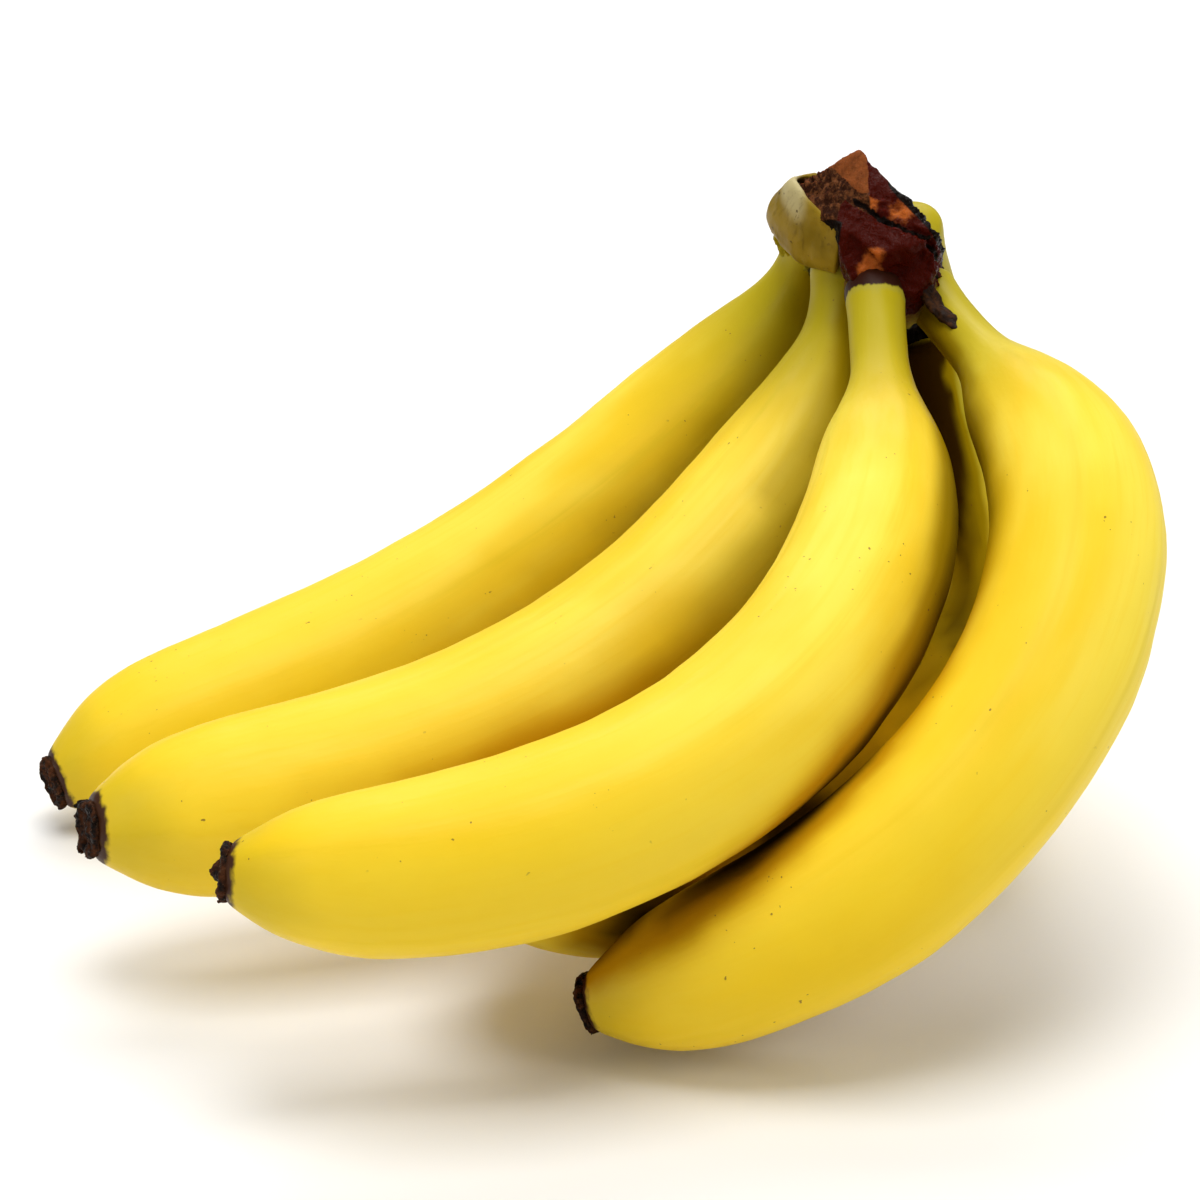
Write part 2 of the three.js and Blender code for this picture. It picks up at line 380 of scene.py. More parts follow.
@dataclass(frozen=True)
class PeelFinish:
    """Waxy ripe peel: golden bodies, greener necks, fine streaks, ridges, specks and painted
    shade.
    """

    lemon: Colour = (0.89, 0.69, 0.066)
    golden: Colour = (0.84, 0.56, 0.016)
    ridge: Colour = (0.62, 0.47, 0.008)
    neck: Colour = (0.37, 0.30, 0.002)
    tip: Colour = (0.42, 0.32, 0.006)
    lip: Colour = (0.36, 0.31, 0.03)
    ripe: Colour = (0.88, 0.58, 0.008)
    # Painted shade, olive and orange, where other fingers cover the peel.
    shade: Colour = (0.25, 0.155, 0.001)
    warm_shade: Colour = (0.50, 0.24, 0.002)
    scab: Colour = (0.026, 0.0050, 0.0010)
    # Painted shade, near black, for the deepest gaps between fingers.
    hidden: Colour = (0.032, 0.013, 0.0008)
    speck: Colour = (0.16, 0.075, 0.015)
    scorch: Colour = (0.045, 0.014, 0.004)

    def make(self) -> bpy.types.Material:
        """Build the material.

        Returns:
            The peel material.
        """
        board = NodeBoard("peel")
        straight = board.attribute("straight").outputs["Vector"]
        share = board.mask("share")
        ridge = board.mask("ridge")
        root = board.mask("root")
        painted_shade = board.mask("painted_shade")
        patches = board.noise(board.stretch(straight, (1, 1, 0.35)), 38.0, 3.0)
        streaks = board.noise(board.stretch(straight, (1, 1, 0.045)), 620.0, 4.0, 0.6)
        grain = board.noise(board.stretch(straight, (1, 1, 0.4)), 1500.0, 2.0)
        colour = board.blend(board.ease(patches, 0.38, 0.62), self.golden, self.lemon)
        shaded = board.ease(streaks, 0.46, 0.72, 0.0, 0.30)
        colour = board.blend(shaded, colour, self.golden)
        edge = board.math("MULTIPLY", board.ease(ridge, 0.80, 1.0), board.ease(streaks, 0.3, 0.6))
        colour = board.blend(board.math("MULTIPLY", edge, 0.30), colour, self.ridge)
        along = board.ragged(share, patches, 0.12)
        green = board.ease(along, 0.05, 0.30, 1.0, 0.0)
        colour = board.blend(board.math("MULTIPLY", green, 0.92), colour, self.neck)
        colour = board.blend(board.ease(along, 0.42, 0.78, 0.0, 0.70), colour, self.ripe)
        olive = board.ease(along, 0.93, 1.0, 0.0, 0.45)
        colour = board.blend(olive, colour, self.tip)
        # Painted shade: the peel darkens where other fingers cover it, olive near the neck, orange
        # toward the tip and near black deep in the gaps.
        dim = board.blend(board.ease(along, 0.30, 0.60), self.shade, self.warm_shade)
        colour = board.blend(board.ease(painted_shade, 0.09, 0.52, 0.0, 0.88), colour, dim)
        colour = board.blend(board.ease(painted_shade, 0.52, 0.98), colour, self.hidden)
        pits = board.noise(straight, 950.0, 1.0)
        rare = board.noise(straight, 90.0, 1.0)
        speckled = board.math(
            "MULTIPLY", board.ease(pits, 0.745, 0.775), board.ease(rare, 0.55, 0.64)
        )
        colour = board.blend(board.math("MULTIPLY", speckled, 0.8), colour, self.speck)
        torn = board.ragged(root, grain, 0.3)
        colour = board.blend(board.ease(torn, 0.12, 0.40, 0.0, 0.75), colour, self.lip)
        colour = board.blend(board.ease(torn, 0.48, 0.62), colour, self.scab)
        fray = board.noise(straight, 420.0, 3.0)
        burnt = board.math("ADD", share, board.math("MULTIPLY", fray, 0.014))
        colour = board.blend(board.ease(burnt, 0.998, 1.005), colour, self.scorch)
        board.setting("Base Color", colour)
        board.setting("Roughness", board.ease(streaks, 0.3, 0.7, 0.40, 0.52))
        # The specular fades out under the painted shade.
        shine = board.ease(painted_shade, 0.1, 0.5, 0.15, 0.0)
        board.setting("Specular IOR Level", shine)
        board.setting("Subsurface Weight", 0.05)
        board.setting("Subsurface Radius", (1.0, 0.55, 0.1))
        board.setting("Subsurface Scale", 0.004)
        fine = board.bump(streaks, 0.10, 0.0006)
        fine = board.bump(grain, 0.06, 0.0003, fine)
        board.setting("Normal", fine)
        return board.material


@dataclass(frozen=True)
class BlossomFinish:
    """Dried flower remains: black brown, dusty on the high places, shiny in the pits."""

    dark: Colour = (0.0050, 0.0026, 0.0016)
    brown: Colour = (0.062, 0.020, 0.007)
    dust: Colour = (0.10, 0.052, 0.027)

    def make(self) -> bpy.types.Material:
        """Build the material.

        Returns:
            The blossom end material.
        """
        board = NodeBoard("dried_blossom")
        place_of = board.node("ShaderNodeTexCoord").outputs["Object"]
        broad = board.noise(place_of, 420.0, 4.0, 0.65)
        fine = board.noise(place_of, 1700.0, 3.0, 0.6)
        colour = board.blend(board.ease(broad, 0.40, 0.62), self.dark, self.brown)
        colour = board.blend(board.ease(fine, 0.56, 0.72, 0.0, 0.7), colour, self.dust)
        board.setting("Base Color", colour)
        board.setting("Roughness", board.ease(broad, 0.35, 0.6, 0.35, 0.85))
        board.setting("Specular IOR Level", 0.06)
        normal = board.bump(broad, 0.8, 0.0012)
        normal = board.bump(fine, 0.6, 0.0005, normal)
        board.setting("Normal", normal)
        return board.material


@dataclass(frozen=True)
class CrownFinish:
    """Cut crown: dry brown fibres, a dark glossy skin of dried sap, olive bark outside and painted
    shade below.
    """

    fibre: Colour = (0.023, 0.0060, 0.0020)
    fibre_pale: Colour = (0.130, 0.045, 0.015)
    heart: Colour = (0.20, 0.054, 0.013)
    sap: Colour = (0.044, 0.0026, 0.0004)
    amber: Colour = (0.42, 0.10, 0.016)
    # Near black of the scorched rim, used also for the painted shade at the lower end.
    edge: Colour = (0.0045, 0.0020, 0.0010)
    bark: Colour = (0.17, 0.11, 0.016)
    green: Colour = (0.33, 0.265, 0.012)

    def make(self) -> bpy.types.Material:
        """Build the material.

        Returns:
            The crown material.
        """
        board = NodeBoard("crown_bark")
        here = board.attribute("crown_place").outputs["Vector"]
        cut = board.mask("cut")
        sap = board.mask("sap")
        heart = board.mask("heart")
        amber = board.mask("amber")
        rim = board.mask("rim")
        green = board.mask("green")
        clumps = board.noise(here, 330.0, 4.0, 0.6)
        fibres = board.noise(board.stretch(here, (1.0, 0.45, 1.0)), 900.0, 4.0, 0.7)
        broad = board.noise(here, 120.0, 3.0)
        bark = board.blend(board.ease(fibres, 0.4, 0.65, 0.0, 0.6), self.bark, self.fibre_pale)
        bark = board.blend(green, bark, self.green)
        face = board.blend(board.ease(fibres, 0.42, 0.66), self.fibre, self.fibre_pale)
        warm = board.ragged(heart, clumps, 0.9)
        heart_colour = board.blend(board.ease(fibres, 0.4, 0.7, 0.0, 0.45), self.heart, self.fibre)
        face = board.blend(board.ease(warm, 0.35, 0.65), face, heart_colour)
        glow = board.ragged(amber, clumps, 1.3)
        wet = board.blend(board.ease(glow, 0.30, 0.85), self.sap, self.amber)
        wet_edge = board.ragged(sap, clumps, 0.8)
        sapped = board.ease(wet_edge, 0.42, 0.58)
        face = board.blend(sapped, face, wet)
        burnt = board.ragged(rim, broad, 0.9)
        face = board.blend(board.ease(burnt, 0.45, 0.75), face, self.edge)
        exposed = board.ragged(cut, fibres, 0.3)
        shown = board.ease(exposed, 0.40, 0.60)
        colour = board.blend(shown, bark, face)
        # Painted shade: the lower end, under the face, darkens to near black.
        painted_shade = board.mask("painted_shade")
        colour = board.blend(board.ease(painted_shade, 0.35, 0.8), colour, self.edge)
        board.setting("Base Color", colour)
        gloss = board.math("MULTIPLY", sapped, shown)
        rough = board.blend(gloss, (0.72, 0.72, 0.72), (0.16, 0.16, 0.16))
        board.setting("Roughness", rough)
        board.setting("Specular IOR Level", 0.035)
        board.setting("Subsurface Weight", 0.12)
        board.setting("Subsurface Radius", (1.0, 0.3, 0.1))
        board.setting("Subsurface Scale", 0.003)
        normal = board.bump(fibres, 0.55, 0.0010)
        normal = board.bump(clumps, 0.50, 0.0022, normal)
        board.setting("Normal", normal)
        return board.material


@dataclass(frozen=True)
class SheathFinish:
    """Tan and olive skin left round the crown, streaked, with a painted highlight at its upper
    left.
    """

    olive: Colour = (0.20, 0.128, 0.003)
    tan: Colour = (0.28, 0.18, 0.010)
    # Pale grey of the painted highlight.
    pale: Colour = (0.50, 0.43, 0.22)
    stain: Colour = (0.040, 0.020, 0.005)

    def make(self) -> bpy.types.Material:
        """Build the material.

        Returns:
            The sheath material.
        """
        board = NodeBoard("crown_sheath")
        here = board.attribute("crown_place").outputs["Vector"]
        pale = board.mask("pale")
        broad = board.noise(here, 110.0, 3.0)
        streaks = board.noise(board.stretch(here, (1.0, 1.0, 0.12)), 700.0, 4.0, 0.6)
        spots = board.noise(here, 560.0, 2.0)
        colour = board.blend(board.ease(broad, 0.36, 0.64), self.olive, self.tan)
        # Painted highlight: the upper edge of the left end fades to pale grey.
        highlight_share = board.ragged(pale, broad, 0.7)
        colour = board.blend(board.ease(highlight_share, 0.35, 1.0, 0.0, 0.8), colour, self.pale)
        colour = board.blend(board.ease(streaks, 0.52, 0.75, 0.0, 0.35), colour, self.stain)
        colour = board.blend(board.ease(spots, 0.66, 0.74, 0.0, 0.8), colour, self.stain)
        board.setting("Base Color", colour)
        board.setting("Roughness", board.ease(streaks, 0.3, 0.7, 0.42, 0.60))
        board.setting("Specular IOR Level", 0.12)
        normal = board.bump(streaks, 0.25, 0.0005)
        board.setting("Normal", normal)
        return board.material


@dataclass(frozen=True)
class DripFinish:
    """Run of sap dried dark on a neck."""

    dark: Colour = (0.014, 0.0050, 0.0018)
    brown: Colour = (0.060, 0.022, 0.007)

    def make(self) -> bpy.types.Material:
        """Build the material.

        Returns:
            The dried sap material.
        """
        board = NodeBoard("dried_sap")
        place_of = board.node("ShaderNodeTexCoord").outputs["Object"]
        clumps = board.noise(place_of, 620.0, 4.0, 0.6)
        colour = board.blend(board.ease(clumps, 0.42, 0.66), self.dark, self.brown)
        board.setting("Base Color", colour)
        board.setting("Roughness", board.ease(clumps, 0.35, 0.65, 0.35, 0.75))
        board.setting("Specular IOR Level", 0.08)
        board.setting("Normal", board.bump(clumps, 0.6, 0.0010))
        return board.material


@dataclass(frozen=True)
class TableFinish:
    """Plain pale table top."""

    colour: Colour = (0.86, 0.86, 0.855)

    def make(self) -> bpy.types.Material:
        """Build the material.

        Returns:
            The table material.
        """
        board = NodeBoard("pale_table")
        place_of = board.node("ShaderNodeTexCoord").outputs["Object"]
        soft = board.noise(place_of, 3.0, 2.0)
        shade = board.blend(soft, self.colour, tuple(0.985 * c for c in self.colour))
        board.setting("Base Color", shade)
        board.setting("Roughness", 0.75)
        board.setting("Specular IOR Level", 0.2)
        return board.material


# ---- fingers -----------------------------------------------------------------------------
# How the radius of a body swells from the end of the neck (0) to the tip (1).
SWELL = (
    (0.0, 0.325), (0.03, 0.39), (0.06, 0.52), (0.1, 0.69), (0.15, 0.82), (0.22, 0.92),
    (0.33, 0.98), (0.5, 1.0), (0.7, 1.0), (0.8, 0.965), (0.87, 0.895), (0.92, 0.78),
    (0.955, 0.61), (0.98, 0.42), (1.0, 0.28),
)


@dataclass
class Finger:
    """One banana, neck and body in one skin. Lengths in millimetres, angles in degrees."""

    number: int
    seat: tuple[float, float, float]
    azimuth: float
    dip: float
    roll: float
    shoulder: float
    sweep: float
    hook: float
    length: float
    girth: float
    neck: float
    sway: float
    root: float
    ridge_turn: float = 0.0
    neck_share: float = 0.325
    root_length: float = 14.0
    shoulder_length: float = 52.0
    hook_start: float = 0.78
    tip_cut: float = 1.2
    dome: float = 0.0
    scab: float = 0.0
    # Gain of the painted shade on the side facing the front, up to about two thirds of the length;
    # above 1 darkens it.
    front_shade_gain: float = 1.0
    ridges: int = 5
    sides: int = 20
    rings: int = 44
    path: list[tuple[float, Vector, float]] = field(default_factory=list)

    def turn_at(self, s: float) -> float:
        """Turn of the centreline, in radians, at s millimetres from the seat."""
        bend = smooth_step(s, self.neck - 12, self.neck - 12 + self.shoulder_length)
        body = min(1.0, max(0.0, (s - self.neck) / (self.length - self.neck)))
        tip = smooth_step(s / self.length, self.hook_start, 1.0)
        return math.radians(self.shoulder * bend + self.sweep * body + self.hook * tip)

    def radius_at(self, s: float) -> float:
        """Radius in millimetres at s millimetres from the seat."""
        if s < self.neck:
            slim = self.girth * self.neck_share
            flare = max(0.0, 1 - s / min(self.root_length, self.neck))
            return slim + (self.root - slim) * flare**2
        return self.girth * through(SWELL, (s - self.neck) / (self.length - self.neck))

    def walk(self) -> None:
        """Step along the centreline and keep (distance, place, turn) at every path step."""
        step = PATH_STEP
        spot = Vector((0, 0, 0))
        self.path = []
        for i in range(int(self.length / step) + 1):
            s = i * step
            lean = min(1.0, max(0.0, (s - self.neck / 2) / (self.length - self.neck / 2)))
            aside = Vector((0, self.sway * math.sin(math.pi * lean) ** 2, 0))
            self.path.append((s, spot + aside, self.turn_at(s)))
            middle = self.turn_at(s + step / 2)
            spot = spot + Vector((math.sin(middle), 0, math.cos(middle))) * step

    def at(self, s: float) -> tuple[Vector, float]:
        """Place (in metres) and turn of the centreline at s millimetres."""
        index = min(len(self.path) - 1, max(0, round(s / PATH_STEP)))
        _, spot, turn = self.path[index]
        return spot * MM, turn

    def matrix(self) -> Matrix:
        """Where the finger's own frame sits in the bunch."""
        azimuth, dip, roll = (math.radians(a) for a in (self.azimuth, self.dip, self.roll))
        along = Vector(
            (math.cos(azimuth) * math.cos(dip), math.sin(azimuth) * math.cos(dip), -math.sin(dip))
        )
        level = Vector((-math.sin(azimuth), math.cos(azimuth), 0))
        bend = level * math.cos(roll) + along.cross(level) * math.sin(roll)
        out = along.cross(bend)
        turned = Matrix((bend, out, along)).transposed().to_4x4()
        return Matrix.Translation(Vector(self.seat) * MM + WORKING_POINT) @ turned

    def tip_matrix(self) -> Matrix:
        """Where the end of the body sits: z out of the tip."""
        spot, turn = self.at(self.length - self.tip_cut)
        return self.matrix() @ Matrix.Translation(spot) @ Matrix.Rotation(turn, 4, "Y")

    def stations(self) -> list[float]:
        """Distances of the rings, closer at the root, the shoulder and the tip."""
        end = self.length - self.tip_cut
        shares = [i / self.rings for i in range(self.rings + 1)]
        return [end * (t - 0.10 * math.sin(2 * math.pi * t) / math.pi) for t in shares]

    def ridge_height(self, s: float) -> float:
        """How far the ridges stand out at s, as a share of the radius."""
        risen = smooth_step(s, 2, self.neck)
        fade = 1 - 0.45 * smooth_step(s / self.length, 0.25, 0.6)
        close = 1 + 0.5 * smooth_step(s / self.length, 0.86, 0.97)
        return 0.046 * risen * fade * close

    def phase(self, spot: Vector, centre: Vector, turn: float) -> float:
        """Angle of a point round a ring, measured from the nearest ridge, in ridge turns."""
        across = spot - centre
        inward = across.dot(Vector((math.cos(turn), 0, -math.sin(turn))))
        angle = math.atan2(across.y, inward) - math.pi - math.radians(self.ridge_turn)
        share = angle * self.ridges / (2 * math.pi)
        return share - round(share)

    def shape_ring(
        self, piece: bpy.types.Object, centre: Vector, turn: float, s: float, rise: float
    ) -> None:
        """Push the ridges of the newest ring out and draw the faces between them in.

        Args:
            piece: The finger in edit mode, with its newest ring selected.
            centre: Middle of the ring.
            turn: Turn of the centreline there.
            s: Distance of the ring from the seat.
            rise: Growth of the ridges since the last ring, as a share of the radius.
        """
        radius = self.radius_at(s) * MM
        ahead = Vector((math.sin(turn), 0, math.cos(turn)))

        def on_ring(co: Vector) -> bool:
            """True on the newest ring."""
            return abs((co - centre).dot(ahead)) < 1e-5 and (co - centre).length < 1.5 * radius

        def off_ridge(co: Vector) -> float:
            """How far round the point is from the nearest ridge, 0 to 0.5."""
            return abs(self.phase(co, centre, turn))

        for low, high, factor in ((0.0, 0.06, 1 + 0.7 * rise), (0.44, 0.51, 1 - 0.7 * rise)):
            pick(piece, lambda co: on_ring(co) and low <= off_ridge(co) <= high)
            grow(factor, centre)
        pick(piece, on_ring)
        bpy.ops.mesh.select_mode(type="FACE")

    def build(self, others: BVHTree) -> bpy.types.Object:
        """Extrude the finger ring by ring, place it in the bunch and smooth it.

        Args:
            others: Tubes round the other fingers.

        Returns:
            The finished finger.
        """
        deselect_everything()
        first = self.radius_at(0)
        bpy.ops.mesh.primitive_circle_add(
            vertices=self.sides, radius=first * MM, fill_type="NGON", location=(0, 0, 0)
        )
        piece = bpy.context.object
        bpy.ops.object.mode_set(mode="EDIT")
        bpy.ops.transform.rotate(
            value=math.radians(-self.ridge_turn), orient_axis="Z", center_override=(0, 0, 0)
        )
        bpy.ops.mesh.select_all(action="SELECT")
        turn_about_y(self.turn_at(0), Vector((0, 0, 0)))
        bpy.ops.mesh.select_mode(type="FACE")
        last_s, last_height = 0.0, 0.0
        for s in self.stations()[1:]:
            before, turn_before = self.at(last_s)
            centre, turn = self.at(s)
            bpy.ops.mesh.extrude_region_move(
                TRANSFORM_OT_translate={"value": tuple(centre - before)}
            )
            turn_about_y(turn - turn_before, centre)
            grow(self.radius_at(s) / self.radius_at(last_s), centre)
            height = self.ridge_height(s)
            if abs(height - last_height) > 0.0015:
                self.shape_ring(piece, centre, turn, s, height - last_height)
                last_height = height
            last_s = s
        bpy.ops.mesh.inset(thickness=0.0012, depth=0)
        if self.dome:
            self.round_root(piece)
        bpy.ops.mesh.select_all(action="SELECT")
        bpy.ops.mesh.normals_make_consistent(inside=False)
        bpy.ops.object.mode_set(mode="OBJECT")
        self.mark(piece, others)
        place(piece, self.matrix())
        add_subdivision(piece, 2)
        add_lumps(piece, 0.030, 0.0011, f"swell_{self.number}")
        add_lumps(piece, 0.006, 0.00018, f"dimples_{self.number}")
        finish_modifiers(piece)
        shade_smooth(piece)
        return piece

    def round_root(self, piece: bpy.types.Object) -> None:
        """Draw the flat root end out into a low dome.

        Args:
            piece: The finger in edit mode.
        """
        pick_faces(piece, lambda face: len(face.verts) > 4 and face.calc_center_median().z < 1e-4)
        for rise, narrow in ((0.45, 0.88), (0.32, 0.74), (0.23, 0.45)):
            step = Vector((0, 0, -rise * self.dome * MM))
            bpy.ops.mesh.extrude_region_move(TRANSFORM_OT_translate={"value": tuple(step)})
            bpy.ops.transform.resize(value=(narrow, narrow, 1))

    def mark(self, piece: bpy.types.Object, others: BVHTree) -> None:
        """Write where each point lies on the straightened finger, and its painted shade, for the
        peel to follow.

        Args:
            piece: The finger in its own frame.
            others: Tubes round the other fingers.
        """
        rings = [(s, *self.at(s)) for s in self.stations()]
        world = self.matrix()
        straight, share, ridge, root, painted_shade = [], [], [], [], []
        for vertex in piece.data.vertices:
            co = vertex.co

            def off(ring: tuple[float, Vector, float]) -> float:
                """How far the point is from a ring."""
                _, centre, turn = ring
                ahead = Vector((math.sin(turn), 0, math.cos(turn)))
                return abs((co - centre).dot(ahead)) * 20 + (co - centre).length

            s, centre, turn = min(rings, key=off)
            across = co - centre
            inward = across.dot(Vector((math.cos(turn), 0, -math.sin(turn))))
            straight.append((inward, across.y, s * MM + 0.5 * self.number))
            share.append(s / (self.length - self.tip_cut))
            phase = self.phase(co, centre, turn)
            ridge.append(0.5 + 0.5 * math.cos(2 * math.pi * phase))
            bearing = across.to_2d().angle_signed(Vector((1, 0)), 0.0)
            ragged = 1.2 * math.sin(3 * bearing + self.number)
            covered = 1 - smooth_step(s + ragged, self.scab - 2.5, self.scab + 2.5)
            root.append(covered if self.scab else 0.0)
            # Painted shade: the share of the open side that other fingers cover, raised on the
            # front side by the gain.
            outward = (world.to_3x3() @ (across if across.length > 1e-4 else co)).normalized()
            in_front = smooth_step(-outward.y, 0.0, 0.9)
            in_front *= 1 - smooth_step(s / self.length, 0.66, 0.8)
            shade_gain = 1 + (self.front_shade_gain - 1) * in_front
            painted_shade.append(min(1.0, shade_gain * hidden_share(others, world @ co, outward)))
        write_attribute(piece, "straight", straight)
        write_attribute(piece, "share", share)
        write_attribute(piece, "ridge", ridge)
        write_attribute(piece, "root", root)
        write_attribute(piece, "painted_shade", painted_shade)


def tubes(hand: Sequence[Finger]) -> BVHTree:
    """Rough tubes round the centrelines of some fingers, to tell which places they hide, for the
    painted shade.

    Args:
        hand: The fingers, each already walked.

    Returns:
        A tree of the tubes in the bunch's frame.
    """
    sides = 12
    points, faces = [], []
    for finger in hand:
        world = finger.matrix()
        for i, s in enumerate(finger.stations()):
            centre, turn = finger.at(s)
            for k in range(sides):
                angle = 2 * math.pi * k / sides
                out = Vector((math.cos(angle), math.sin(angle), 0)) * finger.radius_at(s) * MM
                out.rotate(Matrix.Rotation(turn, 3, "Y"))
                points.append(world @ (centre + out))
                if i:
                    here = len(points) - 1
                    beside = here - k + (k + 1) % sides
                    faces.append((here - sides, beside - sides, beside, here))
    return BVHTree.FromPolygons(points, faces)


def hidden_share(tree: BVHTree, spot: Vector, normal: Vector, reach: float = 0.060) -> float:
    """How much of the open side of a point the tubes cover, which sets its painted shade.

    Args:
        tree: The tubes.
        spot: The point.
        normal: Its outward direction.
        reach: How far a tube still counts.

    Returns:
        0 in the open to 1 shut in.
    """
    rays = 40
    grazing = 0.05
    lift = 0.0006
    blocked = total = 0.0
    for k in range(rays):
        height = 1 - (2 * k + 1) / rays
        angle = k * GOLDEN_ANGLE
        level = math.sqrt(1 - height * height)
        ray = Vector((level * math.cos(angle), level * math.sin(angle), height))
        weight = ray.dot(normal)
        if weight <= grazing:
            continue
        total += weight
        distance = tree.ray_cast(spot + normal * lift, ray, reach)[3]
        if distance is not None:
            blocked += weight * (1 - 0.5 * distance / reach)
    return blocked / total


@dataclass
class BlossomEnd:
    """Dried flower remains at the tip of a finger, in millimetres, z out of the tip."""

    number: int
    radius: float = 5.5
    thick: float = 2.7
    spur: float = 0.0
    flakes: int = 5
    sides: int = 18
    slant: float = 12.0
    slant_toward: tuple[float, float, float] = (0.0, -0.93, 0.36)

    def build(self, where: Matrix) -> bpy.types.Object:
        """Model the stub: a rough disc with a torn rim and a pitted face.

        Args:
            where: Place of the tip, z out of it.

        Returns:
            The finished piece.
        """
        deselect_everything()
        bpy.ops.mesh.primitive_cylinder_add(
            vertices=self.sides,
            radius=self.radius * MM,
            depth=self.thick * MM,
            location=(0, 0, (self.thick / 2 - 1.2) * MM),
        )
        piece = bpy.context.object
        bpy.ops.object.transform_apply(location=True, rotation=False, scale=False)
        bpy.ops.object.mode_set(mode="EDIT")
        top = (self.thick - 1.2) * MM
        pick_faces(piece, lambda face: face.calc_center_median().z > top - 1e-5)
        bpy.ops.mesh.inset(thickness=1.1 * MM, depth=0.5 * MM)
        bpy.ops.mesh.inset(thickness=0.9 * MM, depth=-1.0 * MM)
        bpy.ops.mesh.inset(thickness=1.2 * MM, depth=0.3 * MM)
        bpy.ops.mesh.inset(thickness=1.0 * MM, depth=(0.5 + self.spur) * MM)
        if self.spur:
            bpy.ops.transform.resize(value=(0.45, 0.45, 1.0))
        self.fray(piece, top)
        self.lean(piece, where)
        bpy.ops.mesh.select_all(action="SELECT")
        bpy.ops.transform.vertex_random(
            offset=0.55 * MM, uniform=0.1, normal=0.2, seed=self.number
        )
        bpy.ops.mesh.normals_make_consistent(inside=False)
        bpy.ops.object.mode_set(mode="OBJECT")
        place(piece, where)
        add_subdivision(piece, 3)
        add_lumps(piece, 0.0022, 0.0011, f"crumble_{self.number}")
        add_lumps(piece, 0.0008, 0.0005, f"grit_{self.number}")
        finish_modifiers(piece)
        shade_smooth(piece)
        return piece

    def lean(self, piece: bpy.types.Object, where: Matrix) -> None:
        """Shear the outer face so that it looks to the open side of the bunch.

        Args:
            piece: The stub in edit mode.
            where: Place of the tip, z out of it.
        """
        toward = where.to_3x3().inverted() @ Vector(self.slant_toward)
        toward.z = 0
        toward.normalize()
        fall = math.tan(math.radians(self.slant))
        mesh = bmesh.from_edit_mesh(piece.data)
        for vertex in mesh.verts:
            if vertex.co.z > 0:
                share = min(1.0, vertex.co.z / (self.thick * MM))
                vertex.co.z -= share * fall * vertex.co.dot(toward)
        bmesh.update_edit_mesh(piece.data)

    def fray(self, piece: bpy.types.Object, top: float) -> None:
        """Draw some faces of the rim out into torn flakes.

        Args:
            piece: The stub in edit mode.
            top: Height of its face.
        """
        for k in range(self.flakes):
            angle = 2 * math.pi * (k + 0.35 * math.sin(7 * k + self.number)) / self.flakes
            toward = Vector((math.cos(angle), math.sin(angle), 0))

            def on_rim(face: bmesh.types.BMFace) -> bool:
                """True on the one wall face that looks this way."""
                return face.normal.dot(toward) > math.cos(math.pi / self.sides) - 1e-4

            if not pick_faces(piece, on_rim):
                continue
            reach = (0.7 + 0.5 * abs(math.sin(3 * k + self.number))) * MM
            step = toward * reach * 0.35 + Vector((0, 0, reach))
            bpy.ops.mesh.extrude_region_move(TRANSFORM_OT_translate={"value": tuple(step)})
            bpy.ops.transform.resize(value=(0.55, 0.55, 0.55))


# ---- crown -------------------------------------------------------------------------------
Section = tuple[float, float, float, float, float]


